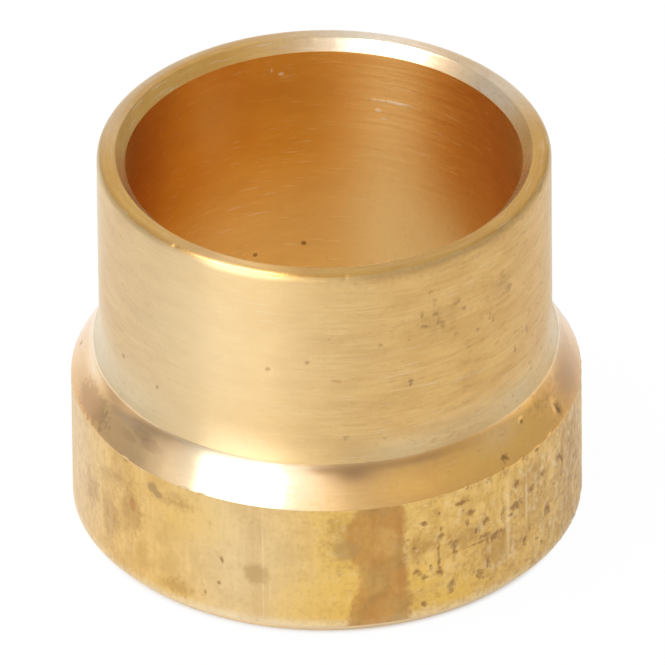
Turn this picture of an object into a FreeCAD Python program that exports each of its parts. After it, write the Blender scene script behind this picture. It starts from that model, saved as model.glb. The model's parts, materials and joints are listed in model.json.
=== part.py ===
import FreeCAD, Part
import math
import os
import Sketcher

# Compression olive for a 15 mm tube, turned from brass bar as one piece. It stands on its collar end,
# with the origin at the centre of that face, +Z up along the bore, in millimetres and degrees.

# Driving dimensions, each set once
driving = (
    ("bore_diameter", 15.1, "through bore, a tenth over the tube"),
    ("skirt_wall", 1.1, "thickness of the plain sleeve round the bore"),
    ("shoulder_step", 1.1, "how far the collar stands out from the skirt"),
    ("collar_height", 5.8, "straight side of the collar, from its face to the shoulder"),
    ("cone_angle", 30, "slope of the sealing shoulder, measured from the axis"),
    ("skirt_length", 8, "from the corner of cone and skirt to the rim"),
    ("root_radius", 3.6, "hollow round where the skirt meets the cone"),
    ("rim_radius", 0.3, "rounded outer edge of the rim"),
    ("mouth_chamfer", 0.4, "inner edge of the rim"),
    ("base_chamfer", 0.5, "outer edge of the collar face"),
    ("lead_chamfer", 0.4, "lead-in for the tube at the collar face"),
    ("edge_share", 0.4, "most of the skirt wall that one rim edge may take"),
)

doc = FreeCAD.newDocument("compression_olive")
sheet = doc.addObject("Spreadsheet::Sheet", "sizes")
for row, (alias, value, note) in enumerate(driving, start=1):
    sheet.set(f"A{row}", alias)
    sheet.set(f"B{row}", str(value))
    sheet.setAlias(f"B{row}", alias)
    sheet.set(f"C{row}", note)
doc.recompute()

# Radii and heights that follow from the driving dimensions
bore_radius = sheet.bore_diameter / 2
skirt_radius = bore_radius + sheet.skirt_wall
collar_radius = skirt_radius + sheet.shoulder_step
slope = math.radians(sheet.cone_angle)
neck_height = sheet.collar_height + sheet.shoulder_step / math.tan(slope)
top_height = neck_height + sheet.skirt_length

# How a constraint numbers the points of a line, arc or circle, counted from 1, and the sketch's own origin
start_point, end_point, centre_point = range(1, 4)
origin_geometry = -1


def sketch_on(body, role, name):
    plane = next(item for item in body.Origin.OriginFeatures if item.Role == role)
    sketch = body.newObject("Sketcher::SketchObject", name)
    sketch.AttachmentSupport = (plane, "")
    sketch.MapMode = "FlatFace"
    return sketch


def line(sketch, start, end):
    return sketch.addGeometry(Part.LineSegment(FreeCAD.Vector(*start, 0), FreeCAD.Vector(*end, 0)))


def relate(sketch, *relation):
    return sketch.addConstraint(Sketcher.Constraint(*relation))


def drive(sketch, name, formula, *dimension):
    index = relate(sketch, *dimension)
    sketch.renameConstraint(index, name)
    sketch.setExpression(f"Constraints.{name}", formula)


# Name of the round edge of a feature that has this radius and lies at this height
def ring(feature, radius, height):
    near = 1e-6
    for index, edge in enumerate(feature.Shape.Edges, start=1):
        if not isinstance(edge.Curve, Part.Circle):
            continue
        if abs(edge.Curve.Radius - radius) < near and abs(edge.Curve.Center.z - height) < near:
            return f"Edge{index}"
    raise ValueError(f"{feature.Name} has no round edge of radius {radius} at height {height}")


def dress(body, kind, name, radius, height, size, formula):
    base = body.Tip
    feature = body.newObject(f"PartDesign::{kind}", name)
    feature.Base = (base, [ring(base, radius, height)])
    feature.setExpression(size, formula)
    doc.recompute()
    return feature


olive = doc.addObject("PartDesign::Body", "olive")
olive.Label = "olive"
olive.Placement = FreeCAD.Placement()

# Turned outside: half section from the axis out, with collar, cone, hollow root and skirt
section = sketch_on(olive, "XZ_Plane", "half_section")
root_reach = sheet.root_radius * math.tan(slope / 2)
root_on_cone = (skirt_radius + root_reach * math.sin(slope), neck_height - root_reach * math.cos(slope))
root_on_skirt = (skirt_radius, neck_height + root_reach)
root_centre = FreeCAD.Vector(skirt_radius + sheet.root_radius, neck_height + root_reach, 0)
root_circle = Part.Circle(root_centre, FreeCAD.Vector(0, 0, 1), sheet.root_radius)

face_line = line(section, (0, 0), (collar_radius, 0))
collar_line = line(section, (collar_radius, 0), (collar_radius, sheet.collar_height))
cone_line = line(section, (collar_radius, sheet.collar_height), root_on_cone)
root_arc = section.addGeometry(Part.ArcOfCircle(root_circle, math.pi, math.pi + slope))
skirt_line = line(section, root_on_skirt, (skirt_radius, top_height))
rim_line = line(section, (skirt_radius, top_height), (0, top_height))
axis_line = line(section, (0, top_height), (0, 0))
neck_corner = section.addGeometry(Part.Point(FreeCAD.Vector(skirt_radius, neck_height, 0)), True)

relate(section, "Coincident", face_line, start_point, origin_geometry, start_point)
for first, second in (
    (face_line, collar_line),
    (collar_line, cone_line),
    (skirt_line, rim_line),
    (rim_line, axis_line),
    (axis_line, face_line),
):
    relate(section, "Coincident", first, end_point, second, start_point)
for index in (face_line, rim_line):
    relate(section, "Horizontal", index)
for index in (collar_line, skirt_line, axis_line):
    relate(section, "Vertical", index)
relate(section, "Tangent", cone_line, end_point, root_arc, end_point)
relate(section, "Tangent", root_arc, start_point, skirt_line, start_point)
for index in (cone_line, skirt_line):
    relate(section, "PointOnObject", neck_corner, start_point, index)

drive(
    section, "skirt_radius", "sizes.bore_diameter / 2 + sizes.skirt_wall",
    "DistanceX", rim_line, end_point, rim_line, start_point, skirt_radius,
)
drive(
    section, "shoulder_step", "sizes.shoulder_step",
    "DistanceX", neck_corner, start_point, cone_line, start_point, sheet.shoulder_step,
)
drive(
    section, "collar_height", "sizes.collar_height",
    "DistanceY", collar_line, start_point, collar_line, end_point, sheet.collar_height,
)
drive(
    section, "cone_height", "sizes.shoulder_step / tan(sizes.cone_angle * 1 deg)",
    "DistanceY", cone_line, start_point, neck_corner, start_point, neck_height - sheet.collar_height,
)
drive(
    section, "skirt_length", "sizes.skirt_length",
    "DistanceY", neck_corner, start_point, skirt_line, end_point, sheet.skirt_length,
)
drive(section, "root_radius", "sizes.root_radius", "Radius", root_arc, sheet.root_radius)

turned = olive.newObject("PartDesign::Revolution", "turned_outside")
turned.Profile = section
turned.ReferenceAxis = (section, ["V_Axis"])
turned.Angle = 360
doc.recompute()

# Through bore for the tube, cut upwards from the collar face
bore_circle = sketch_on(olive, "XY_Plane", "bore_circle")
bore_wall = bore_circle.addGeometry(Part.Circle(FreeCAD.Vector(), FreeCAD.Vector(0, 0, 1), bore_radius))
relate(bore_circle, "Coincident", bore_wall, centre_point, origin_geometry, start_point)
drive(bore_circle, "bore_diameter", "sizes.bore_diameter", "Diameter", bore_wall, sheet.bore_diameter)

bored = olive.newObject("PartDesign::Pocket", "through_bore")
bored.Profile = bore_circle
bored.Type = "ThroughAll"
bored.Reversed = True
doc.recompute()
bore_volume = math.pi * bore_radius**2 * top_height
if not math.isclose(turned.Shape.Volume - bored.Shape.Volume, bore_volume, rel_tol=1e-6):
    raise RuntimeError("the bore does not go right through")

# Edges: rounded rim, chamfered mouth, and a chamfer at each side of the collar face
dress(
    olive, "Fillet", "rim_round", skirt_radius, top_height,
    "Radius", "min(sizes.rim_radius; sizes.edge_share * sizes.skirt_wall)",
)
dress(
    olive, "Chamfer", "mouth_edge", bore_radius, top_height,
    "Size", "min(sizes.mouth_chamfer; sizes.edge_share * sizes.skirt_wall)",
)
dress(olive, "Chamfer", "base_edge", collar_radius, 0, "Size", "sizes.base_chamfer")
dress(olive, "Chamfer", "tube_lead_in", bore_radius, 0, "Size", "sizes.lead_chamfer")

# Every feature has to have built before the solid is written
for item in doc.Objects:
    if "Invalid" in item.State or "Error" in item.State:
        raise RuntimeError(f"{item.Name} did not build: {item.State}")
if olive.Shape.isNull() or not olive.Shape.isValid() or len(olive.Shape.Solids) != 1:
    raise RuntimeError("the olive is not one valid solid")

os.makedirs("parts", exist_ok=True)
olive.Shape.exportStep(f"parts/{olive.Label}.step")
box = olive.Shape.optimalBoundingBox()
print(f"olive {box.XLength:.3f} x {box.YLength:.3f} x {box.ZLength:.3f} mm, {olive.Shape.Volume:.1f} cubic mm")
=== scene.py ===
import json
import math

import bpy
import numpy as np
from mathutils import Matrix, Vector


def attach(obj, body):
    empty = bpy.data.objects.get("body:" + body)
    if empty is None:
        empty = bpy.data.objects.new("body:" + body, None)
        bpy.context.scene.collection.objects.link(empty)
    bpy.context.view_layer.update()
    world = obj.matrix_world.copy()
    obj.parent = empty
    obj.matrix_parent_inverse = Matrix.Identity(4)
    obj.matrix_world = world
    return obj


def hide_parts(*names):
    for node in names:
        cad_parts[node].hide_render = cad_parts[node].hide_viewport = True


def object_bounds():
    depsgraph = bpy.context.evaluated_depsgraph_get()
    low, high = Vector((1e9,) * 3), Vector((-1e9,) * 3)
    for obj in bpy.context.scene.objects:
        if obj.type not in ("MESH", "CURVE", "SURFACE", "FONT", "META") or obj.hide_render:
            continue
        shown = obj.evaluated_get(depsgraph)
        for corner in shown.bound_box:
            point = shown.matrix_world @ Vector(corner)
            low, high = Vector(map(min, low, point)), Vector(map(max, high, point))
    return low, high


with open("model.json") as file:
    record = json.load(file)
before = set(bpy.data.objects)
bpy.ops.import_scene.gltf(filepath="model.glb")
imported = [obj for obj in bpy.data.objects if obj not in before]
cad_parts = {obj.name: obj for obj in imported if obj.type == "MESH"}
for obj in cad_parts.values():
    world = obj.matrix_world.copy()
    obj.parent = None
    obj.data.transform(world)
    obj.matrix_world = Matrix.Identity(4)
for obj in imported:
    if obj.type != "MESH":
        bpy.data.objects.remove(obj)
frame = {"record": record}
cadBox = [list(corner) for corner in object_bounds()]
mounts = {mount["name"]: mount for mount in frame["record"]["mounts"]}
mm = 0.001
print("frame loaded, CAD box:", cadBox)

# The turned olive, in millimetres and degrees
olive = {
    "boreRadius": mounts["tube_bore"]["dims"]["r_mm"],
    "skirtRadius": mounts["skirt_outside"]["dims"]["r_mm"],
    "collarRadius": cadBox[1][0] / mm,
    "height": cadBox[1][2] / mm,
    "collarHeight": 5.8,
    "coneAngle": 30,
    "rootRadius": 3.6,
    "rimRadius": 0.3,
    "mouthChamfer": 0.4,
    "baseChamfer": 0.5,
    "leadChamfer": 0.4,
    "edgeBreak": 0.05,  # what deburring leaves on each sharp edge
    "edgeGuard": 0.06,  # a row this close to an edge keeps the shading flat up to it
    "guardMost": 0.2,  # the most of a run that one guard takes
    "guardClear": 1.5,  # other rows keep this many guards away from the edge
    "arcRows": 3,
    "rootRows": 18,
    "rimRows": 6,
    "edgeCut": 0.5,  # how far round an edge the finish changes
    "coneCut": 0.24,  # how far up the hollow root the cone's own finish reaches
    "columns": 512,
    "frontCrowding": 0.45,  # columns stand closer together at the front
}

# How far apart the rows stand on each straight run, in millimetres, from the base edge round to the base face
runs = {
    "baseEdge": 0.3,
    "collar": 0.112,
    "cone": 0.13,
    "skirt": 0.21,
    "rim": 0.12,
    "mouth": 0.14,
    "bore": 0.55,
    "leadIn": 0.3,
    "baseFace": 0.8,
}
zoneOf = {name: number for number, name in enumerate(runs)}


# Corners of the half section, from the base edge upwards: radius, height, the round there, its rows, and how
# far along the round the finish changes. The cone rises by its step outwards over the tangent of its slope.
def sectionCorners(size):
    step = size["collarRadius"] - size["skirtRadius"]
    neck = size["collarHeight"] + step / math.tan(math.radians(size["coneAngle"]))
    bore, collar, skirt, top = size["boreRadius"], size["collarRadius"], size["skirtRadius"], size["height"]
    edge = (size["edgeBreak"], size["arcRows"], size["edgeCut"])
    return np.array([
        (collar - size["baseChamfer"], 0, *edge),
        (collar, size["baseChamfer"], *edge),
        (collar, size["collarHeight"], *edge),
        (skirt, neck, size["rootRadius"], size["rootRows"], size["coneCut"]),
        (skirt, top, size["rimRadius"], size["rimRows"], size["edgeCut"]),
        (bore + size["mouthChamfer"], top, *edge),
        (bore, top - size["mouthChamfer"], *edge),
        (bore, size["leadChamfer"], *edge),
        (bore + size["leadChamfer"], 0, *edge),
    ])


# Profile: a closed chain of straight runs with a tangent arc at each corner. An arc of radius q that turns by
# the angle a starts q*tan(a/2) before its corner. Each row gets a radius, a height, an outward normal, the
# number of its run and the length so far.
def turnedProfile(corners, steps, size):
    spots, bend, rows, cut = corners[:, :2], corners[:, 2], corners[:, 3].astype(int), corners[:, 4]
    count = len(spots)
    ahead = np.roll(spots, -1, 0) - spots
    ahead /= np.linalg.norm(ahead, axis=1)[:, None]
    behind = np.roll(ahead, 1, 0)
    turn = np.arctan2(behind[:, 0] * ahead[:, 1] - behind[:, 1] * ahead[:, 0], (behind * ahead).sum(1))
    reach = (bend * np.tan(np.abs(turn) / 2))[:, None]
    arcStart = spots - behind * reach
    arcEnd = spots + ahead * reach
    places, normals, zones = [], [], []
    for i in range(count):
        share = np.linspace(0, 1, rows[i])[:, None]
        side = np.array([behind[i, 1], -behind[i, 0]])  # outward is to the right of the way the chain runs
        normal = side * np.cos(turn[i] * share) + np.array([-side[1], side[0]]) * np.sin(turn[i] * share)
        places.append(arcStart[i] + (normal - side) * bend[i] * np.sign(turn[i]))
        normals.append(normal)
        zones.append(i - (share[:, 0] < cut[i]).astype(int))
        run = arcStart[(i + 1) % count] - arcEnd[i]
        length = np.linalg.norm(run)
        near = min(size["edgeGuard"] / length, size["guardMost"])
        clear = size["guardClear"] * near
        cuts = np.linspace(0, 1, max(2, round(length / steps[i])) + 1)
        cuts = np.concatenate([[near], cuts[(cuts > clear) & (cuts < 1 - clear)], [1 - near]])
        places.append(arcEnd[i] + run * cuts[:, None])
        normals.append(np.repeat([[ahead[i, 1], -ahead[i, 0]]], len(cuts), 0))
        zones.append(np.full(len(cuts), i))
    places, normals = np.concatenate(places), np.concatenate(normals)
    along = np.concatenate([[0], np.cumsum(np.linalg.norm(np.diff(places, axis=0), axis=1))])
    return places[:, :1], places[:, 1:], normals, np.concatenate(zones) % count, along[:, None]


radius, level, normal, zone, along = turnedProfile(sectionCorners(olive), list(runs.values()), olive)

# Columns: angle = t - crowding*sin(t), closest together where t is 0, at the front, and plus to the right
turnShare = np.linspace(-np.pi, np.pi, olive["columns"], endpoint=False)
angle = turnShare - olive["frontCrowding"] * np.sin(turnShare)
gridShape = (len(radius), len(angle))
print("grid:", gridShape, "triangles:", 2 * len(radius) * len(angle))

# Wear, one dictionary for each surface. A mark is degrees from the front, plus to the right, a height in
# millimetres, how wide and how tall it is, and for a spot or a bore scratch how strong. Marks for the other
# sides are a seed, how many, the lowest and highest, the smallest and largest, and the angles between which
# they lie. Waves are a seed, the fewest and the most round the axis, the greatest rate along the profile, and
# how many.
collarWear = {
    "spots": [
        (-16.4, 2.7, 0.98, 0.95, 0.55),
        (-43.0, 5.2, 0.56, 0.46, 0.95),
        (-41.4, 5.0, 0.46, 0.34, 0.9),
        (-36.4, 5.3, 0.5, 0.3, 0.3),
        (4.2, 4.0, 1.0, 0.9, 0.55),
    ],
    "stains": [(-49.5, 3.9, 0.3, 0.6)],
    # brown bands: the left and right borders in degrees, how far the left one sways, the height and length of
    # that sway, how the right one leans, and how soft both are
    "bands": [
        (5.7, 16.8, 1.4, 4.5, 3.8, 0.35, 3.0),
        (128.0, 136.0, 2.6, 2.0, 3.3, -0.7, 5.0),
        (-152.0, -147.0, 1.8, 1.2, 4.6, 0.6, 4.5),
    ],
    "clouds": [
        (4.6, 4.6, 1.6, 2.0),
        (-36.0, 1.1, 1.2, 0.6),
        (-37.0, 5.0, 1.6, 0.5),
        (-50.0, 3.4, 1.0, 2.0),
        (-58.0, 2.6, 1.2, 1.8),
        (17.6, 1.5, 0.7, 1.0),
        (22.5, 3.7, 1.0, 0.6),
        (33.0, 3.6, 1.6, 1.0),
        (42.0, 2.4, 2.6, 1.6),
        (52.0, 4.0, 2.0, 2.4),
        (72.0, 4.0, 2.4, 4.0),
        (20.4, 3.6, 0.9, 1.2),
        (-66.0, 3.0, 1.2, 1.6),
        (-55.0, 4.6, 1.0, 0.7),
    ],
    "gold": [
        (2.5, 2.6, 2.0, 7.0),
        (-6.0, 1.4, 2.6, 2.8),
        (28.0, 1.0, 2.4, 1.4),
        (22.0, 2.2, 1.4, 1.0),
        (-30.0, 4.4, 2.4, 1.6),
        (-36.0, 0.8, 1.4, 0.8),
    ],
    "pits": [
        (43.3, 3.8, 0.36, 0.42),
        (47.6, 3.84, 0.7, 0.36),
        (33.8, 4.55, 0.36, 0.36),
        (31.3, 5.12, 0.7, 0.2),
        (32.9, 4.14, 0.24, 0.24),
        (38.1, 3.87, 0.3, 0.4),
        (40.8, 2.98, 0.8, 0.42),
        (38.0, 3.2, 0.5, 0.3),
        (29.7, 3.38, 0.34, 0.34),
        (29.9, 2.99, 0.3, 0.26),
        (26.2, 3.9, 0.22, 0.36),
        (20.4, 2.53, 0.3, 0.3),
        (22.0, 4.7, 0.26, 0.24),
        (25.7, 2.28, 0.5, 0.28),
        (28.9, 1.52, 0.3, 0.5),
        (36.3, 1.56, 0.3, 0.36),
        (38.9, 1.84, 0.26, 0.5),
        (21.9, 1.0, 0.26, 0.22),
        (59.4, 2.6, 0.4, 0.5),
        (57.4, 4.4, 0.34, 0.3),
        (47.5, 4.78, 0.34, 0.36),
        (50.2, 1.9, 0.3, 0.5),
        (53.0, 4.1, 0.3, 0.34),
        (65.0, 4.4, 0.4, 0.4),
        (-24.4, 3.0, 0.16, 0.3),
        (-25.2, 1.9, 0.2, 0.16),
        (-28.8, 1.3, 0.16, 0.3),
    ],
    "scratches": [(25.6, 3.05, 0.12, 1.7), (36.5, 3.0, 1.7, 0.12)],
    # drawn lines, with their glints painted on as bright colour
    "glints": [
        (-14.6, 3.1, 0.07, 5.2),
        (-13.2, 2.2, 0.06, 2.6),
        (44.7, 3.5, 0.2, 3.4),
        (51.0, 3.9, 0.16, 2.4),
    ],
    "backPits": (4, 46, 0.8, 5.3, 0.16, 0.5),
    "rightPits": (9, 54, 0.7, 5.5, 0.08, 0.24, 18, 80),  # tiny ones among those listed
    "backStains": (5, 10, 0.8, 5.2, 0.4, 1.4),
    "backClouds": (8, 14, 0.8, 5.2, 0.6, 2.4),
    "backGold": (7, 8, 1, 5, 1.2, 4),
    "lipShift": (0.11, -0.13),  # the lit far side of a pit: to the right and down from it
    "lipCover": 1.1,  # how much of that the pit itself hides
    "pitDepth": 0.05,
    "skinWaves": [(5, 50, 170, 2.5, 70), (7, 50, 170, 11, 70)],
    "skinWaveShare": 0.6,
    "skinLeast": 0.2,  # what is left of them where the skin is whole
    "skinDepth": 0.003,
    "tornDepth": 0.014,  # extra where the skin is torn and pitted
    "biteWaves": (6, 12, 150, 0, 70),
    "biteFrom": -0.4,
    "biteTo": 1.3,
    "biteLeast": 0.25,
    "biteTall": 0.22,
    "edgeBite": 0.016,  # how far the upper edge is worn back at the worst places
}

coneWear = {
    "pits": [(67.8, 6.3, 0.34, 0.4), (45.0, 6.15, 0.42, 0.36), (54.2, 6.85, 0.26, 0.16)],
    "edgePits": [
        (26.5, 5.76, 0.4, 0.16),
        (33.0, 5.74, 0.6, 0.2),
        (38.6, 5.7, 1.1, 0.34),
        (44.0, 5.74, 0.7, 0.3),
        (49.5, 5.76, 0.5, 0.24),
        (55.0, 5.72, 0.6, 0.3),
        (61.0, 5.78, 0.4, 0.24),
        (-34.0, 5.76, 0.5, 0.14),
        (-29.5, 5.78, 0.3, 0.12),
        (-52.0, 5.74, 0.5, 0.2),
    ],
    "edgePitShare": 0.6,
    "gold": [(36.0, 6.5, 6.0, 1.0), (52.0, 6.6, 5.0, 1.2), (22.0, 6.3, 3.0, 0.6)],
    "spots": [
        (-71.0, 6.35, 2.8, 1.05, 0.65),
        (-50.0, 6.82, 1.3, 0.34, 0.3),
        (-46.5, 6.64, 1.1, 0.4, 0.25),
        (-53.5, 6.5, 0.9, 0.3, 0.2),
        (75.0, 6.9, 0.6, 0.3, 0.5),
        (79.0, 6.4, 1.4, 0.9, 0.4),
    ],
    "clouds": [(77.0, 6.4, 3.2, 1.8), (86.0, 6.8, 3.0, 2.4), (67.0, 7.1, 2.0, 0.9)],
    "backPits": (8, 6, 6.1, 6.8, 0.16, 0.36),
    "backStains": (9, 5, 6.1, 6.9, 0.5, 1.6),
    "pitDepth": 0.04,
    "standOut": 0.45,  # how far the middle of its finish stands out from the skirt
}

skirtWear = {
    "pits": [
        (0.3, 13.0, 0.3, 0.22),
        (2.2, 10.9, 0.34, 0.14),
        (35.7, 13.5, 0.28, 0.26),
        (24.9, 13.4, 0.16, 0.4),
        (25.7, 12.9, 0.4, 0.16),
        (29.7, 12.9, 0.3, 0.3),
        (33.0, 13.2, 0.6, 0.1),
        (21.8, 10.5, 0.16, 0.24),
        (54.5, 12.9, 0.26, 0.3),
        (52.0, 13.2, 0.22, 0.3),
        (46.1, 12.1, 0.14, 0.3),
        (4.8, 8.4, 0.5, 0.1),
        (14.5, 8.2, 0.16, 0.12),
        (21.6, 12.4, 0.24, 0.14),
        (13.7, 12.5, 0.3, 0.12),
        (-11.7, 14.0, 0.2, 0.12),
        (27.5, 14.4, 0.3, 0.2),
        (28.3, 13.85, 0.36, 0.2),
        (35.1, 13.6, 0.3, 0.24),
        (37.0, 13.05, 0.26, 0.26),
        (28.9, 13.25, 0.4, 0.22),
        (30.7, 12.75, 0.34, 0.26),
        (53.2, 12.85, 0.3, 0.34),
        (50.7, 13.65, 0.26, 0.3),
        (2.4, 10.93, 0.34, 0.2),
        (21.8, 10.57, 0.24, 0.26),
        (12.3, 11.3, 0.24, 0.16),
        (-4.5, 11.85, 0.24, 0.14),
        (47.2, 11.95, 0.2, 0.3),
        (41.8, 11.8, 0.24, 0.2),
        (35.0, 11.95, 0.3, 0.2),
        (62.1, 10.2, 0.24, 0.3),
        (39.1, 11.3, 0.2, 0.2),
        (44.2, 10.25, 0.24, 0.16),
        (56.1, 9.8, 0.2, 0.24),
        (-14.5, 11.4, 0.24, 0.12),
        (-62.6, 9.1, 0.3, 0.2),
        (-48.0, 8.85, 0.24, 0.16),
    ],
    "clouds": [(28.0, 15.5, 7.0, 0.7), (30.0, 13.0, 2.0, 1.2), (50.0, 13.0, 1.6, 1.0)],
    "backPits": (21, 26, 8.6, 14.8, 0.12, 0.36),
    "pitDepth": 0.018,
}

boreWear = {
    "spots": [(-159.1, 6.3, 0.16, 0.17, 0.8), (-173.8, 6.55, 0.17, 0.17, 0.8)],
    # scratches, with their glints painted on as near-white colour
    "scratches": [
        (159.5, 13.25, 2.0, 0.12, 0.9),
        (158.2, 13.23, 0.8, 0.16, 0.9),
        (163.9, 12.78, 0.3, 0.16, 1.0),
        (162.3, 12.42, 0.4, 0.09, 0.6),
        (155.5, 13.95, 1.2, 0.06, 0.4),
        (-167.6, 14.42, 0.26, 0.16, 0.9),
        (-164.9, 14.62, 0.1, 0.2, 0.7),
        (-158.0, 9.4, 1.0, 0.06, 0.35),
        (-163.0, 9.0, 0.8, 0.06, 0.35),
        (-153.0, 8.7, 0.9, 0.06, 0.35),
        (-160.0, 8.2, 1.1, 0.06, 0.35),
        (-150.0, 7.8, 0.8, 0.06, 0.35),
        (170.0, 8.6, 0.9, 0.06, 0.35),
        (150.0, 11.2, 1.0, 0.06, 0.3),
        (144.0, 12.4, 0.9, 0.06, 0.3),
    ],
}

# Nicks in the rim: degrees, radius, and size across
rimWear = {
    "nicks": [
        (-176.7, 7.9, 0.14),
        (176.4, 7.8, 0.14),
        (5.1, 8.5, 0.2),
        (-41.8, 8.46, 0.18),
        (117.2, 8.26, 0.18),
        (-108.0, 8.2, 0.25),
        (62.0, 8.4, 0.2),
    ],
    "reach": 0.6,  # how far below the top a nick may go
    "depth": 0.018,
}

# Speckling is light at the front left and grows towards the right, and comes and goes round the back
speckling = {
    "middle": 0.55,
    "swing": 0.45,
    "turn": 0.35,  # radians from the front to where it is at its middle
    "waves": (31, 1, 6, 0, 28),
    "waveShare": 0.25,
    "tornFrom": 0.3,
    "tornTo": 0.9,
}

# Painted light and shade on the metal: degrees, how wide in degrees, height and how tall in millimetres, and
# how strong
tones = {
    # painted highlights: paler where the lamps and the white floor are reflected, round the highlights and at
    # the sides
    "pale": {
        ("cone", "skirt"): [(-35, 39, 12, 8, 0.58), (-88, 14, 7.6, 1.2, 0.36), (84, 14, 7.9, 1.0, 0.4)],
        ("cone",): [
            (-19, 15, 6.8, 1.7, 1.0),
            (46, 8, 6.95, 0.5, 0.2),
            (-79, 7, 7.1, 0.3, 0.4),
            (-56, 6, 6.95, 0.2, 0.14),
        ],
        ("skirt",): [
            (42, 28, 7.8, 0.8, 0.3),
            (-54, 16, 8, 1.2, 0.2),
            (-22, 14, 7.6, 0.7, 0.28),
            (-90, 11, 12, 8, 0.8),
            (88, 9, 12, 8, 0.6),
            (-74, 12, 7.9, 1.0, 0.55),
            (-57, 8, 7.7, 0.5, 0.22),
            (58, 10, 7.7, 0.6, 0.3),
            (18, 9, 7.6, 0.4, 0.26),
        ],
        ("collar",): [(-20, 15, 3, 5, 0.5), (-75, 14, 4, 5, 0.4)],
        ("bore",): [
            (160, 14, 11, 9, 0.8),
            (140, 14, 5.5, 4, 0.6),
            (-144, 7, 13.2, 2, 0.35),
            (124, 12, 9, 4, 0.16),
        ],
        ("rim", "mouth"): [(123, 16, 15.7, 2, 0.6), (165, 23, 15.7, 2, 0.8)],
        ("rim",): [(-105, 15, 15.7, 2, 0.2)],
        ("rim", "skirt"): [(-28, 17, 15.7, 0.4, 0.16)],
    },
    # brown painted shade under the root, on the cone's sides, along the rim's edge and deep in the bore
    "shade": {
        ("cone",): [
            (-50, 12, 7.2, 0.3, 0.5),
            (20, 13, 7.15, 0.14, 0.5),
            (83, 10, 6.5, 1.2, 0.6),
            (-84, 9, 6.2, 0.6, 0.2),
            (-75, 8, 6.25, 0.4, 0.3),
            (77, 8, 6.5, 0.5, 0.6),
            (6, 6.3, 6.99, 0.33, 0.9),
            (-1, 4, 7.16, 0.14, 0.55),
            (25, 8, 6.95, 0.35, 0.22),
            (-38, 6, 6.9, 0.5, 0.2),
            (-66, 13, 7.26, 0.09, 0.4),
            (-65, 5.5, 7.1, 0.22, 0.6),
        ],
        ("rim", "skirt"): [
            (24, 22, 15.75, 0.25, 0.27),
            (-6, 9, 15.75, 0.25, 0.18),
            (-36, 7, 15.65, 0.25, 0.2),
        ],
        # painted shade on the collar's left side, and a dark streak beside the round spot that is a real
        # stain
        ("collar",): [(-80, 16, 3.5, 4, 0.14), (-16.8, 3, 3, 6, 0.26)],
        ("bore",): [(-168, 22, 13.6, 1.6, 0.25), (-118, 20, 12, 5, 0.35)],
    },
    # painted light, paler towards the base: the surfaces, the heights where it starts and is full, and how
    # strong
    "paleFoot": [(("collar", "baseEdge"), 0.95, 0.5, 0.6), (("bore",), 11.5, 7.0, 0.32)],
    # painted highlight on the rim's outer edge, which lies between two radii
    "paleLip": {
        "surfaces": ("rim", "skirt"),
        "place": (-134, 28, 15.7, 0.3),
        "from": 8.1,
        "to": 8.34,
        "share": 0.4,
    },
}


# 1 on the rows of these surfaces, 0 elsewhere
def on(*surfaces):
    return np.isin(zone, [zoneOf[name] for name in surfaces])[:, None]


# Where a value passes from 0 at low to 1 at high, on a smooth cubic
def ease(value, low, high):
    share = np.clip((value - low) / (high - low), 0, 1)
    return share * share * (3 - 2 * share)


# Angle from a place given in degrees, the short way round
def turnedFrom(place):
    return (angle - math.radians(place) + np.pi) % (2 * np.pi) - np.pi


# Waves: a sum of cosines of the angle with random whole wave numbers and phases, shifted along the profile at
# random rates. Whole numbers close the sum on itself, so it has no seam. About -1 to 1.
def waves(seed, low, high, heightRate, count):
    pick = np.random.default_rng(seed)
    total = np.zeros(gridShape)
    for number in pick.integers(low, high + 1, count):
        rate = pick.uniform(-heightRate, heightRate)
        phase = pick.uniform(0, 2 * np.pi)
        total += np.cos(number * angle + rate * along + phase)
    return total / math.sqrt(2 * count)


# Mark: 1 at its middle, one half on an ellipse of the given width and height, 0 at twice that, on these
# surfaces only. On the flat rim its height is a radius.
def mark(surfaces, place, height, wide, tall, flat=False):
    up = (radius if flat else level) - height
    share = np.hypot(turnedFrom(place) * radius * 2 / wide, up * 2 / tall)
    return np.clip(1 - share / 2, 0, 1) * on(*surfaces)


# The strongest of several marks at each place
def markAll(surfaces, marks, flat=False):
    field = np.zeros(gridShape)
    for place in marks:
        field = np.maximum(field, mark(surfaces, *place, flat=flat))
    return field


# Marks for the sides that the front view doesn't show: a random place and height for each, and random sizes
# spread evenly by ratio
def backMarks(seed, count, lowest, highest, smallest, largest, first=94, last=266):
    pick = np.random.default_rng(seed)
    places = pick.uniform(first, last, count)
    heights = pick.uniform(lowest, highest, count)
    sizes = smallest * (largest / smallest) ** pick.uniform(0, 1, (2, count))
    return list(zip(places, heights, sizes[0], sizes[1]))


# Brown band: 1 between two borders, one half on them. The left border sways with the height on a cosine, and
# the right one leans with it.
def brownBand(left, right, sway, swayAt, swayLength, lean, soft):
    swayed = sway * np.cos(2 * np.pi * (level - swayAt) / swayLength)
    leaned = lean * (olive["collarHeight"] - level)
    degrees = np.degrees(angle)
    inside = np.minimum(degrees - left + swayed, right + leaned - degrees)
    return np.clip(0.5 + inside / (2 * soft), 0, 1) * on("collar")


# Hump: a bell curve of the angle times a bell curve of the height
def hump(middle, wide, height, tall):
    return np.exp(-((turnedFrom(middle) / math.radians(wide)) ** 2) - ((level - height) / tall) ** 2)


# The sum of the humps on their surfaces
def toneField(patches):
    field = np.zeros(gridShape)
    for surfaces, humps in patches.items():
        for *place, share in humps:
            field += on(*surfaces) * share * hump(*place)
    return field


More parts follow.
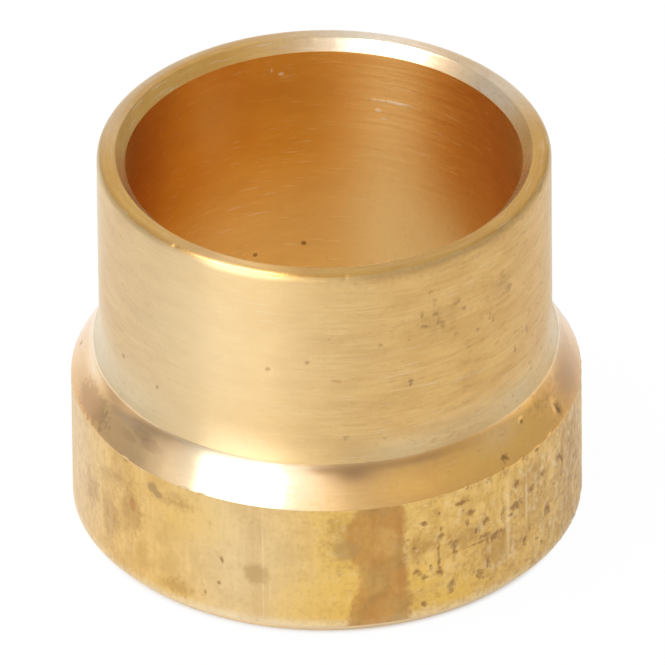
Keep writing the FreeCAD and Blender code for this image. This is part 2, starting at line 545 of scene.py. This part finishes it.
# Pits, the lit lips beside them, and nicks
collarMarks = collarWear["pits"] + backMarks(*collarWear["backPits"]) + backMarks(*collarWear["rightPits"])
collarPit = np.maximum(markAll(["collar"], collarMarks), markAll(["collar"], collarWear["scratches"]))
lipRight, lipUp = collarWear["lipShift"]
lipTurn = math.degrees(lipRight / olive["collarRadius"])
lips = [(place + lipTurn, height + lipUp, wide, tall) for place, height, wide, tall in collarMarks]
lip = np.clip(markAll(["collar"], lips) - collarWear["lipCover"] * collarPit, 0, 1)
conePit = markAll(["cone"], coneWear["pits"] + backMarks(*coneWear["backPits"]))
edgePit = markAll(["cone", "collar"], coneWear["edgePits"])
conePit = np.maximum(conePit, coneWear["edgePitShare"] * edgePit)
skirtPit = markAll(["skirt"], skirtWear["pits"] + backMarks(*skirtWear["backPits"]))
nicks = [(place, across, size, size) for place, across, size in rimWear["nicks"]]
rimNick = markAll(["rim", "mouth", "skirt"], nicks, flat=True) * (level > olive["height"] - rimWear["reach"])
pit = np.maximum.reduce([collarPit, conePit, skirtPit])

# Stains, clouds, golden patches and bright lines
tarnish = markAll(["collar"], collarWear["stains"] + backMarks(*collarWear["backStains"]))
tarnish = np.maximum(tarnish, markAll(["cone"], backMarks(*coneWear["backStains"])))
for band in collarWear["bands"]:
    tarnish = np.maximum(tarnish, brownBand(*band))
cloud = markAll(["collar"], collarWear["clouds"] + backMarks(*collarWear["backClouds"]))
cloud = np.maximum(cloud, markAll(["cone"], coneWear["clouds"]))
cloud = np.maximum(cloud, markAll(["skirt"], skirtWear["clouds"]))
gold = markAll(["collar"], collarWear["gold"] + backMarks(*collarWear["backGold"]))
gold = np.maximum(gold, markAll(["cone"], coneWear["gold"]))
glint = markAll(["collar"], collarWear["glints"])

# Painted highlights and painted shade
pale = toneField(tones["pale"])
for surfaces, start, full, share in tones["paleFoot"]:
    pale += on(*surfaces) * share * ease(level, start, full)
paleLip = tones["paleLip"]
lipBand = on(*paleLip["surfaces"]) * ease(radius, paleLip["from"], paleLip["to"])
pale = np.clip(pale + lipBand * paleLip["share"] * hump(*paleLip["place"]), 0, 1)
shade = np.clip(toneField(tones["shade"]), 0, 1)

speckle = speckling["middle"] + speckling["swing"] * np.sin(angle - speckling["turn"])
speckle = np.clip(speckle + speckling["waveShare"] * waves(*speckling["waves"]), 0, 1)
torn = ease(speckle, speckling["tornFrom"], speckling["tornTo"])

# Relief in millimetres: the drawn bar's uneven skin, the worn upper edge, pits and nicks
pitEdge = (0.2, 0.9)  # where a mark starts to go down, and where it is at its full depth
uneven = sum(collarWear["skinWaveShare"] * waves(*wave) for wave in collarWear["skinWaves"])
skin = on("collar") * (collarWear["skinLeast"] + (1 - collarWear["skinLeast"]) * torn) * uneven
relief = skin * (collarWear["skinDepth"] + collarWear["tornDepth"] * torn)
nearEdge = np.exp(-(((level - olive["collarHeight"]) / collarWear["biteTall"]) ** 2)) * on("collar")
bite = ease(waves(*collarWear["biteWaves"]), collarWear["biteFrom"], collarWear["biteTo"])
bite *= collarWear["biteLeast"] + (1 - collarWear["biteLeast"]) * torn
relief -= nearEdge * collarWear["edgeBite"] * bite
relief -= collarWear["pitDepth"] * ease(collarPit, *pitEdge)
relief -= coneWear["pitDepth"] * ease(conePit, *pitEdge)
relief -= skirtWear["pitDepth"] * ease(skirtPit, *pitEdge)
relief -= rimWear["depth"] * ease(rimNick, *pitEdge)
print("wear worked out, deepest", round(float(-relief.min()), 3), "mm")


# Surface of revolution: radius and height of a row, pushed out along the row's normal by the relief, and
# turned round the axis by each column's angle
def turnedSurface(name, relief, finishes):
    out = radius + normal[:, :1] * relief
    up = level + normal[:, 1:] * relief
    spots = np.stack([out * np.sin(angle), -out * np.cos(angle), up], -1).reshape(-1, 3) * mm
    here = np.arange(len(radius))[:, None] * len(angle) + np.arange(len(angle))
    right = np.roll(here, -1, 1)
    faces = np.stack([here, right, np.roll(right, -1, 0), np.roll(here, -1, 0)], -1).reshape(-1, 4)
    mesh = bpy.data.meshes.new(name)
    mesh.from_pydata(spots, [], faces)
    mesh.polygons.foreach_set("use_smooth", np.ones(len(faces), bool))
    finish = np.array([finishes.get(run, 0) for run in runs])[zone]
    mesh.polygons.foreach_set("material_index", np.repeat(finish, len(angle)))
    mesh.update()
    piece = bpy.data.objects.new(name, mesh)
    bpy.context.scene.collection.objects.link(piece)
    return piece


# One value for each point of the mesh, row by row
def paintAttribute(piece, name, values):
    layer = piece.data.attributes.new(name, "FLOAT", "POINT")
    layer.data.foreach_set("value", np.broadcast_to(values, gridShape).astype(np.float32).ravel())


finishOf = {"collar": 1, "cone": 2, "bore": 3, "rim": 4, "mouth": 4}  # 0, the turned brass, on the rest
piece = turnedSurface("turned_olive", relief, finishOf)
for fieldName, field in {
    "along": along,
    "tarnish": tarnish,
    "pit": pit,
    "gold": gold,
    "glint": glint,
    "speckle": speckle,
    "cloud": cloud,
    # pale holds the painted highlights, shade the painted shade
    "pale": pale,
    "shade": shade,
    "lip": lip,
    "skin": skin,
}.items():
    paintAttribute(piece, fieldName, field)
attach(piece, "root")
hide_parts("olive")
print("olive surface made")

# Brass finishes. Rates are cycles in a millimetre: across, across, and along the profile. A share is how much
# of its colour a mark lays over the brass, and depths are in millimetres.
turnedLook = {
    "name": "turned brass",
    "brass": (0.75, 0.46, 0.134),
    "warm": (0.68, 0.39, 0.098),
    "gold": (0.74, 0.465, 0.085),
    # pale is the colour of the painted highlights and painted light, and of the real pale streaks and lifted
    # skin
    "pale": (0.80, 0.66, 0.41),
    "shade": (0.46, 0.26, 0.09),
    "tarnish": (0.46, 0.235, 0.05),
    "rust": (0.54, 0.27, 0.055),
    "pit": (0.28, 0.135, 0.03),
    "glint": (0.95, 0.8, 0.5),
    # the bore scratches' colour, their glint painted on
    "scratch": (0.98, 0.88, 0.66),
    "spot": (0.42, 0.25, 0.08),
    "roughness": 0.36,
    "roughVary": 0.08,
    "stainRough": 0.08,  # stains and pits are this much duller
    "anisotropic": 0.95,
    "grainTurn": 0.25,
    "grainRate": (0.5, 0.5, 9.0),
    "grainDepth": 0.0024,
    "grainShare": 0.45,
    "mottleRate": (0.5, 0.5, 1.3),
    "coarseRate": (1.0, 1.0, 0.8),
    "fineRate": (5.5, 5.5, 4.5),
    "streakRate": (0.7, 0.7, 15.0),
    "streakCut": (0.6, 0.7),
    "streakShare": 0.35,
    "dashRate": (2.0, 2.0, 5.5),
    "dashCut": (0.59, 0.67),
    "dashShare": 0.45,
    "dashHeight": 1.5,  # how deep a dash is beside the grain
    "tearRate": (2.3, 2.3, 1.9),
    "tearShare": 0.0,
    "tearDepth": 0.0,
    "tearGrit": 0.5,  # how much of the fine noise lies on the tears
    "gritShare": 0.12,
    "gritLeast": 0.3,  # what is left of the grit where there is no speckling
    "stainShare": 0.8,
    "stainLeast": 0.66,  # a stain's thinnest places
    "pitShare": 0.5,
    "lipShare": 0.28,
    "mistShare": 0.32,
    "goldShare": 0.9,
    "glintShare": 0.29,
    # how strong the painted shade in the skin's hollows and the painted light on its ridges are
    "hollowShare": 0.45,
    "ridgeShare": 0.4,
    "scratches": [],
    "scratchDepth": 0.009,
    "spots": [],
    "fray": 1.6,  # how ragged the edges of spots and scratches are
    "radius": olive["skirtRadius"],
    "haze": 0.12,
    "hazeRoughness": 0.9,
    "coat": 0.0,
    "coatRoughness": 0.3,
}
barLook = dict(
    turnedLook,
    name="drawn bar skin",
    radius=olive["collarRadius"],
    spots=collarWear["spots"],
    fray=1.1,
    brass=(0.75, 0.485, 0.14),
    warm=(0.63, 0.385, 0.09),
    pale=(0.80, 0.66, 0.42),
    tarnish=(0.405, 0.205, 0.04),
    rust=(0.475, 0.222, 0.038),
    roughness=0.40,
    anisotropic=0.2,
    grainTurn=0.0,
    grainRate=(5.0, 5.0, 0.6),
    grainDepth=0.003,
    grainShare=0.35,
    mottleRate=(1.1, 1.1, 0.9),
    streakShare=0.0,
    dashRate=(2.6, 2.6, 4.4),
    dashCut=(0.58, 0.66),
    dashShare=0.6,
    tearShare=0.5,
    tearDepth=0.012,
    gritShare=0.4,
    stainShare=0.95,
    pitShare=0.8,
    mistShare=0.5,
    haze=0.09,
)
coneLook = dict(
    turnedLook,
    name="polished cone",
    radius=olive["skirtRadius"] + coneWear["standOut"],
    spots=coneWear["spots"],
    brass=(0.82, 0.45, 0.115),
    warm=(0.77, 0.40, 0.09),
    gold=(0.88, 0.49, 0.10),
    pale=(0.92, 0.80, 0.58),
    shade=(0.40, 0.215, 0.085),
    spot=(0.42, 0.225, 0.09),
    roughness=0.17,
    roughVary=0.06,
    anisotropic=0.4,
    grainDepth=0.0005,
    streakShare=0.1,
    dashCut=(0.66, 0.74),
    dashShare=0.5,
    pitShare=0.85,
    mistShare=0.6,
    haze=0.04,
    coat=0.32,
)
boreLook = dict(
    turnedLook,
    name="bored brass",
    radius=olive["boreRadius"],
    spots=boreWear["spots"],
    scratches=boreWear["scratches"],
    brass=(0.835, 0.425, 0.058),
    warm=(0.795, 0.385, 0.047),
    pale=(1.0, 0.78, 0.34),
    shade=(0.46, 0.18, 0.02),
    spot=(0.28, 0.135, 0.03),
    roughVary=0.06,
    anisotropic=0.8,
    grainRate=(0.3, 0.3, 7.0),
    grainDepth=0.0008,
    streakRate=(1.1, 1.1, 13.0),
    streakShare=0.4,
    dashCut=(0.66, 0.74),
    dashShare=0.12,
    gritShare=0.05,
    haze=0.01,
)
rimLook = dict(
    turnedLook,
    name="faced rim",
    brass=(0.78, 0.45, 0.11),
    warm=(0.72, 0.39, 0.085),
    pale=(0.90, 0.82, 0.70),
    roughness=0.27,
    anisotropic=0.9,
    dashShare=0.12,
    haze=0.03,
    coat=0.12,
)

# Each noise's detail and swirl, the same on every finish
noiseKinds = {
    "grain": (4, 0.0),
    "mottle": (4, 0.4),
    "coarse": (3, 0.0),
    "fine": (3, 0.0),
    "dash": (3, 0.0),
    "streak": (3, 0.0),
    "tear": (4, 0.0),
}

# Where each mark passes from none to full
markSteps = {
    "mottle": (0.38, 0.66),
    "grain": (0.45, 0.68),
    "rust": (0.42, 0.58),
    "rough": (0.3, 0.7),
    "patchy": (0.35, 0.65),
    "stain": (0.34, 0.64),
    "mist": (0.2, 0.9),
    "hole": (0.3, 0.85),
    "lip": (0.25, 0.8),
    "gold": (0.0, 0.9),
    "glint": (0.3, 0.7),
    "grit": (0.48, 0.68),
    "hollow": (0.12, 0.9),
    "ridge": (0.2, 0.9),
    "ripped": (0.52, 0.7),
    "lifted": (0.53, 0.7),
    "spot": (1.25, 0.65),
    "scratch": (1.3, 0.3),
}

# How far the coarse and fine noise move the borders of the marks
raggedness = {"coarse": 0.35, "fine": 0.3, "mist": 3.0, "hole": 1.3, "lip": 1.1}


# A shader node with its settings, and its inputs linked or set
def node(tree, kind, inputs=None, **settings):
    made = tree.nodes.new("ShaderNode" + kind)
    for key, value in settings.items():
        setattr(made, key, value)
    for key, value in (inputs or {}).items():
        if isinstance(value, bpy.types.NodeSocket):
            tree.links.new(value, made.inputs[key])
        else:
            made.inputs[key].default_value = value
    return made


# First colour times what is left of the share, plus the second times the share
def blend(tree, share, first, second):
    colours = {6: first, 7: second}
    colours = {key: (*value, 1) if isinstance(value, tuple) else value for key, value in colours.items()}
    return node(tree, "Mix", {0: share, **colours}, data_type="RGBA").outputs[2]


# One step of arithmetic on two values
def combine(tree, operation, first, second):
    return node(tree, "Math", {0: first, 1: second}, operation=operation).outputs[0]


# Noise at the place times the rate, so that it is drawn out where the rate is low
def stretchedNoise(tree, place, rate, detail, swirl):
    moved = node(tree, "VectorMath", {0: place, 1: rate}, operation="MULTIPLY").outputs[0]
    inputs = {"Vector": moved, "Scale": 1.0, "Detail": detail, "Distortion": swirl}
    return node(tree, "TexNoise", inputs).outputs[0]


# From 0 at low to the top value at high, on a smooth cubic
def passage(tree, value, low, high, top=1.0):
    inputs = {"Value": value, "From Min": low, "From Max": high, "To Max": top}
    return node(tree, "MapRange", inputs, interpolation_type="SMOOTHSTEP").outputs[0]


# A brass finish: layers of colour laid over each other by their shares, with the grain, tears and scratches
# as bump
def brassFinish(look):
    material = bpy.data.materials.new(look["name"])
    material.use_nodes = True
    tree = material.node_tree
    shader = tree.nodes["Principled BSDF"]

    def field(name):
        return node(tree, "Attribute", attribute_name=name).outputs["Fac"]

    def times(first, second):
        return combine(tree, "MULTIPLY", first, second)

    def plus(first, second):
        return combine(tree, "ADD", first, second)

    def minus(first, second):
        return combine(tree, "SUBTRACT", first, second)

    def step(name, value, share=1.0):
        return passage(tree, value, *markSteps[name], share)

    def centred(value):
        return node(tree, "MapRange", {"Value": value, "To Min": -0.5, "To Max": 0.5}).outputs[0]

    def bumped(height, depth, before=None):
        inputs = {"Height": height, "Distance": depth * mm, "Strength": 1.0}
        if before is not None:
            inputs["Normal"] = before
        return node(tree, "Bump", inputs).outputs[0]

    objectPlace = node(tree, "TexCoord").outputs["Object"]
    place = node(tree, "VectorMath", {0: objectPlace, "Scale": 1 / mm}, operation="SCALE").outputs[0]
    axes = node(tree, "SeparateXYZ", {0: place})
    wrap = node(tree, "CombineXYZ", {0: axes.outputs[0], 1: axes.outputs[1], 2: field("along")}).outputs[0]
    noise = {kind: stretchedNoise(tree, wrap, look[kind + "Rate"], *noiseKinds[kind]) for kind in noiseKinds}
    speckled = field("speckle")

    # A field's soft border wanders with the noise
    wander = centred(noise["coarse"])
    flutter = centred(noise["fine"])
    ragged = plus(times(wander, raggedness["coarse"]), times(flutter, raggedness["fine"]))
    low, high = markSteps["patchy"]
    patchy = {"Value": noise["mottle"], "From Min": low, "From Max": high, "To Min": look["stainLeast"]}
    stain = step("stain", plus(field("tarnish"), ragged), look["stainShare"])
    stain = times(stain, node(tree, "MapRange", patchy).outputs[0])
    mist = step("mist", plus(field("cloud"), times(ragged, raggedness["mist"])), look["mistShare"])
    hole = step("hole", plus(field("pit"), times(flutter, raggedness["hole"])), look["pitShare"])
    lipLight = step("lip", plus(field("lip"), times(flutter, raggedness["lip"])), look["lipShare"])
    golden = step("gold", plus(field("gold"), wander), look["goldShare"])
    bright = step("glint", plus(field("glint"), flutter), look["glintShare"])

    # Grit, dashes, streaks and torn skin come from the noise itself
    gritSpread = node(tree, "MapRange", {"Value": speckled, "To Min": look["gritLeast"]}).outputs[0]
    grit = times(step("grit", noise["fine"], look["gritShare"]), gritSpread)
    dash = times(times(passage(tree, noise["dash"], *look["dashCut"]), speckled), look["dashShare"])
    streak = passage(tree, noise["streak"], *look["streakCut"], look["streakShare"])
    # painted shade in the hollows of the skin's relief, and painted light on its ridges
    hollow = step("hollow", times(field("skin"), -1.0), look["hollowShare"])
    ridge = step("ridge", field("skin"), look["ridgeShare"])
    ripped = times(step("ripped", noise["tear"], look["tearShare"]), speckled)
    lifted = times(step("lifted", minus(1.0, noise["tear"]), look["tearShare"]), speckled)

    brown = blend(tree, step("rust", noise["coarse"]), look["tarnish"], look["rust"])
    colour = blend(tree, step("mottle", noise["mottle"]), look["brass"], look["warm"])
    for share, tone in (
        (step("grain", noise["grain"], look["grainShare"]), look["warm"]),
        (golden, look["gold"]),
        (streak, look["pale"]),
        # the painted highlights, then the painted shade
        (field("pale"), look["pale"]),
        (field("shade"), look["shade"]),
        (mist, look["tarnish"]),
        # painted shade in the hollows and painted light on the ridges
        (hollow, look["tarnish"]),
        (ridge, look["pale"]),
        (ripped, look["tarnish"]),
        (lifted, look["pale"]),
        (grit, look["tarnish"]),
        (stain, brown),
        (dash, look["tarnish"]),
        (lipLight, look["pale"]),
        (hole, look["pit"]),
        (bright, look["glint"]),
    ):
        colour = blend(tree, share, colour, tone)

    # Marks too thin for the mesh: full inside an ellipse by angle and height, none a little outside it
    turn = combine(tree, "ARCTAN2", axes.outputs[0], times(axes.outputs[1], -1.0))

    def thinMark(kind, degrees, height, wide, tall, strength):
        across = times(minus(turn, math.radians(degrees)), 2 * look["radius"] / wide)
        up = times(minus(axes.outputs[2], height), 2 / tall)
        offset = node(tree, "CombineXYZ", {0: across, 1: up}).outputs[0]
        distance = node(tree, "VectorMath", {0: offset}, operation="LENGTH").outputs["Value"]
        return step(kind, plus(distance, times(flutter, look["fray"])), strength)

    scored = None
    for spot in look["spots"]:
        colour = blend(tree, thinMark("spot", *spot), colour, look["spot"])
    # scratches, their glints painted on as near-white colour
    for scratch in look["scratches"]:
        score = thinMark("scratch", *scratch)
        colour = blend(tree, score, colour, look["scratch"])
        scored = score if scored is None else combine(tree, "MAXIMUM", scored, score)
    tree.links.new(colour, shader.inputs["Base Color"])

    rough = plus(step("rough", noise["grain"], look["roughVary"]), look["roughness"] - look["roughVary"] / 2)
    rough = plus(rough, times(plus(stain, hole), look["stainRough"]))
    tree.links.new(rough, shader.inputs["Roughness"])

    bump = bumped(minus(noise["grain"], times(dash, look["dashHeight"])), look["grainDepth"])
    if look["tearDepth"]:
        tears = minus(times(noise["fine"], look["tearGrit"]), noise["tear"])
        bump = bumped(times(tears, speckled), look["tearDepth"], bump)
    if scored is not None:
        bump = bumped(scored, look["scratchDepth"], bump)
    tree.links.new(bump, shader.inputs["Normal"])
    tangent = node(tree, "Tangent", direction_type="RADIAL", axis="Z")
    tree.links.new(tangent.outputs[0], shader.inputs["Tangent"])

    shader.inputs["Metallic"].default_value = 1
    shader.inputs["Anisotropic"].default_value = look["anisotropic"]
    shader.inputs["Anisotropic Rotation"].default_value = look["grainTurn"]
    shader.inputs["Sheen Weight"].default_value = look["haze"]
    shader.inputs["Sheen Roughness"].default_value = look["hazeRoughness"]
    shader.inputs["Coat Weight"].default_value = look["coat"]
    shader.inputs["Coat Roughness"].default_value = look["coatRoughness"]
    return material


for look in (turnedLook, barLook, coneLook, boreLook, rimLook):
    piece.data.materials.append(brassFinish(look))
print("brass finishes made")

# Pale floor, which shows white. Its own shade is seen only by the olive's edge, inside two radii.
floor = {
    "colour": (0.92, 0.92, 0.92),
    "side": 3.0,  # metres
    "drop": 0.02,  # how far below the base face it lies, in millimetres like the radii
    "glow": 0.975,  # how much of the camera's view of it is white
    "mirrorGlow": 0.5,  # and of its reflections
    "innerGlow": 0.62,  # share of that glow inside the bore
    "nearRadius": 9.05,
    "farRadius": 9.55,
}


# A square of the given side. Its white grows with the distance from the axis.
def paleFloor(settings):
    corners = np.array([(-1, -1, 0), (1, -1, 0), (1, 1, 0), (-1, 1, 0)]) * settings["side"] / 2
    mesh = bpy.data.meshes.new("floor")
    mesh.from_pydata(corners - np.array([0, 0, settings["drop"] * mm]), [], [(0, 1, 2, 3)])
    plane = bpy.data.objects.new("floor", mesh)
    bpy.context.scene.collection.objects.link(plane)
    material = bpy.data.materials.new("pale floor")
    material.use_nodes = True
    tree = material.node_tree
    tree.nodes.clear()
    place = node(tree, "TexCoord").outputs["Object"]
    distance = node(tree, "VectorMath", {0: place}, operation="LENGTH").outputs["Value"]
    spread = passage(tree, distance, settings["nearRadius"] * mm, settings["farRadius"] * mm)
    path = node(tree, "LightPath")
    seen = combine(tree, "MULTIPLY", path.outputs["Is Camera Ray"], settings["glow"])
    seen = combine(tree, "MULTIPLY", seen, spread)
    mirrored = combine(tree, "MAXIMUM", path.outputs["Is Glossy Ray"], path.outputs["Is Transmission Ray"])
    mirrored = combine(tree, "MULTIPLY", mirrored, settings["mirrorGlow"])
    mirrored = combine(tree, "MULTIPLY", mirrored, combine(tree, "MAXIMUM", spread, settings["innerGlow"]))
    diffuse = node(tree, "BsdfDiffuse", {"Color": (*settings["colour"], 1)}).outputs[0]
    white = node(tree, "Emission", {"Strength": 1.0}).outputs[0]
    share = combine(tree, "MAXIMUM", seen, mirrored)
    mix = node(tree, "MixShader", {0: share, 1: diffuse, 2: white}).outputs[0]
    node(tree, "OutputMaterial", {"Surface": mix})
    material.cycles.emission_sampling = "NONE"
    mesh.materials.append(material)


paleFloor(floor)
print("floor made")

# Soft studio light: azimuth and elevation in degrees from the camera's side, plus to the right and up, then
# the distance, width and height in metres, and the radiance
softboxes = {
    "key": (-40, 37, 0.6, 0.40, 0.54, 1.8),
    "key border": (-41, 36, 0.62, 0.86, 0.66, 0.24),
    "key edge": (-41, 36, 0.64, 1.2, 0.7, 0.2),
    "top": (-95, 70, 0.6, 0.14, 0.22, 11.8),
}


# A lamp that faces the origin. Its power is radiance times pi times its area.
def softbox(name, azimuth, elevation, distance, wide, tall, radiance):
    turn, rise = math.radians(azimuth), math.radians(elevation)
    flat = math.cos(rise)
    away = Vector((math.sin(turn) * flat, -math.cos(turn) * flat, math.sin(rise)))
    lamp = bpy.data.lights.new(name, "AREA")
    lamp.shape = "RECTANGLE"
    lamp.size, lamp.size_y = wide, tall
    lamp.energy = radiance * math.pi * wide * tall
    lampObject = bpy.data.objects.new(name, lamp)
    lampObject.location = away * distance
    lampObject.rotation_euler = away.to_track_quat("Z", "Y").to_euler()
    lampObject.visible_camera = False
    bpy.context.scene.collection.objects.link(lampObject)


for boxName, boxSettings in softboxes.items():
    softbox(boxName, *boxSettings)

# Levels of the room round the olive by azimuth, just above the table and higher up, and the level overhead
room = {
    "low": [
        (-180, 0.9), (-165, 0.85), (-142, 0.48), (-62, 0.5), (-45, 0.8), (-8, 0.7), (2, 0.62),
        (8, 0.54), (18, 0.54), (36, 0.62), (90, 0.6), (145, 0.5), (165, 0.85), (180, 0.9),
    ],
    "walls": [
        (-180, 0.78), (-165, 0.76), (-142, 0.58), (-66, 0.58), (-14, 0.84), (2, 0.98), (5, 0.88), (14, 0.82),
        (22, 0.78), (42, 0.78), (57, 0.68), (84, 0.6), (145, 0.5), (165, 0.74), (180, 0.78),
    ],
    "overhead": 0.7,
    "lowTop": 14,  # degrees above the table
    "wallTop": (50, 68),
    "blur": 0.05,  # half the width of the low border, as a sine
}


# Grey level by azimuth, on straight lines between the stops
def azimuthRamp(tree, azimuth, stops):
    made = node(tree, "ValToRGB", {0: azimuth})
    ramp = made.color_ramp
    while len(ramp.elements) < len(stops):
        ramp.elements.new(0.5)
    for element, (degrees, strength) in zip(ramp.elements, stops):
        element.position = degrees / 360 + 0.5
        element.color = (strength, strength, strength, 1)
    return made.outputs[0]


# The world: the low ramp passes into the walls and then the overhead level by the sine of the elevation. The
# camera itself sees white.
def studioRoom(settings):
    world = bpy.data.worlds.new("studio")
    bpy.context.scene.world = world
    world.use_nodes = True
    tree = world.node_tree
    tree.nodes.clear()
    path = node(tree, "LightPath")
    axes = node(tree, "SeparateXYZ", {0: node(tree, "TexCoord").outputs["Generated"]})
    towards = combine(tree, "MULTIPLY", axes.outputs[1], -1.0)
    turn = combine(tree, "ARCTAN2", axes.outputs[0], towards)
    share = node(tree, "MapRange", {"Value": turn, "From Min": -math.pi, "From Max": math.pi}).outputs[0]
    up, blur = axes.outputs[2], settings["blur"]
    tone = azimuthRamp(tree, share, settings["low"])
    walls = azimuthRamp(tree, share, settings["walls"])
    lowTop = math.sin(math.radians(settings["lowTop"]))
    tone = blend(tree, passage(tree, up, lowTop - blur, lowTop + blur), tone, walls)
    wallTop = [math.sin(math.radians(degrees)) for degrees in settings["wallTop"]]
    tone = blend(tree, passage(tree, up, *wallTop), tone, (settings["overhead"],) * 3)
    tone = blend(tree, path.outputs["Is Camera Ray"], tone, (1.0, 1.0, 1.0))
    background = node(tree, "Background", {"Color": tone, "Strength": 1.0}).outputs[0]
    node(tree, "OutputWorld", {"Surface": background})


studioRoom(room)
print("studio light made")

# Camera, from the photograph's outlines: a long lens a metre away
camera = {
    "elevation": 33.867,
    "roll": 0.58,
    "distance": 1.0,
    "focalPixels": 26200,
    "imagePixels": 665,
    "axisPixel": (325.67, 323.23),  # where the line to the middle of the olive meets the picture
    "sensor": 36.0,
    "clip": (0.01, 10),
}


# The camera looks along its tilt and moves sideways, without turning, until the middle falls on its pixel
def photoCamera(settings, middle):
    tilt, roll = math.radians(settings["elevation"]), math.radians(settings["roll"])
    back = Vector((0, -math.cos(tilt), math.sin(tilt)))
    across, down = Vector((1, 0, 0)), Vector((0, -math.sin(tilt), -math.cos(tilt)))
    right = across * math.cos(roll) + down * math.sin(roll)
    below = down * math.cos(roll) - across * math.sin(roll)
    lens = bpy.data.cameras.new("camera")
    lens.sensor_width = settings["sensor"]
    lens.lens = settings["sensor"] * settings["focalPixels"] / settings["imagePixels"]
    lens.clip_start, lens.clip_end = settings["clip"]
    pixel = settings["distance"] / settings["focalPixels"]
    half = settings["imagePixels"] / 2
    column, line = settings["axisPixel"]
    offset = right * (half - column) * pixel + below * (half - line) * pixel
    turn = Matrix((right, -below, back)).transposed().to_4x4()
    shooter = bpy.data.objects.new("camera", lens)
    shooter.matrix_world = Matrix.Translation(middle + offset + back * settings["distance"]) @ turn
    bpy.context.scene.collection.objects.link(shooter)
    bpy.context.scene.camera = shooter


photoCamera(camera, Vector((0, 0, olive["height"] * mm / 2)))
bpy.context.scene.view_settings.view_transform = "Standard"
print("camera set")
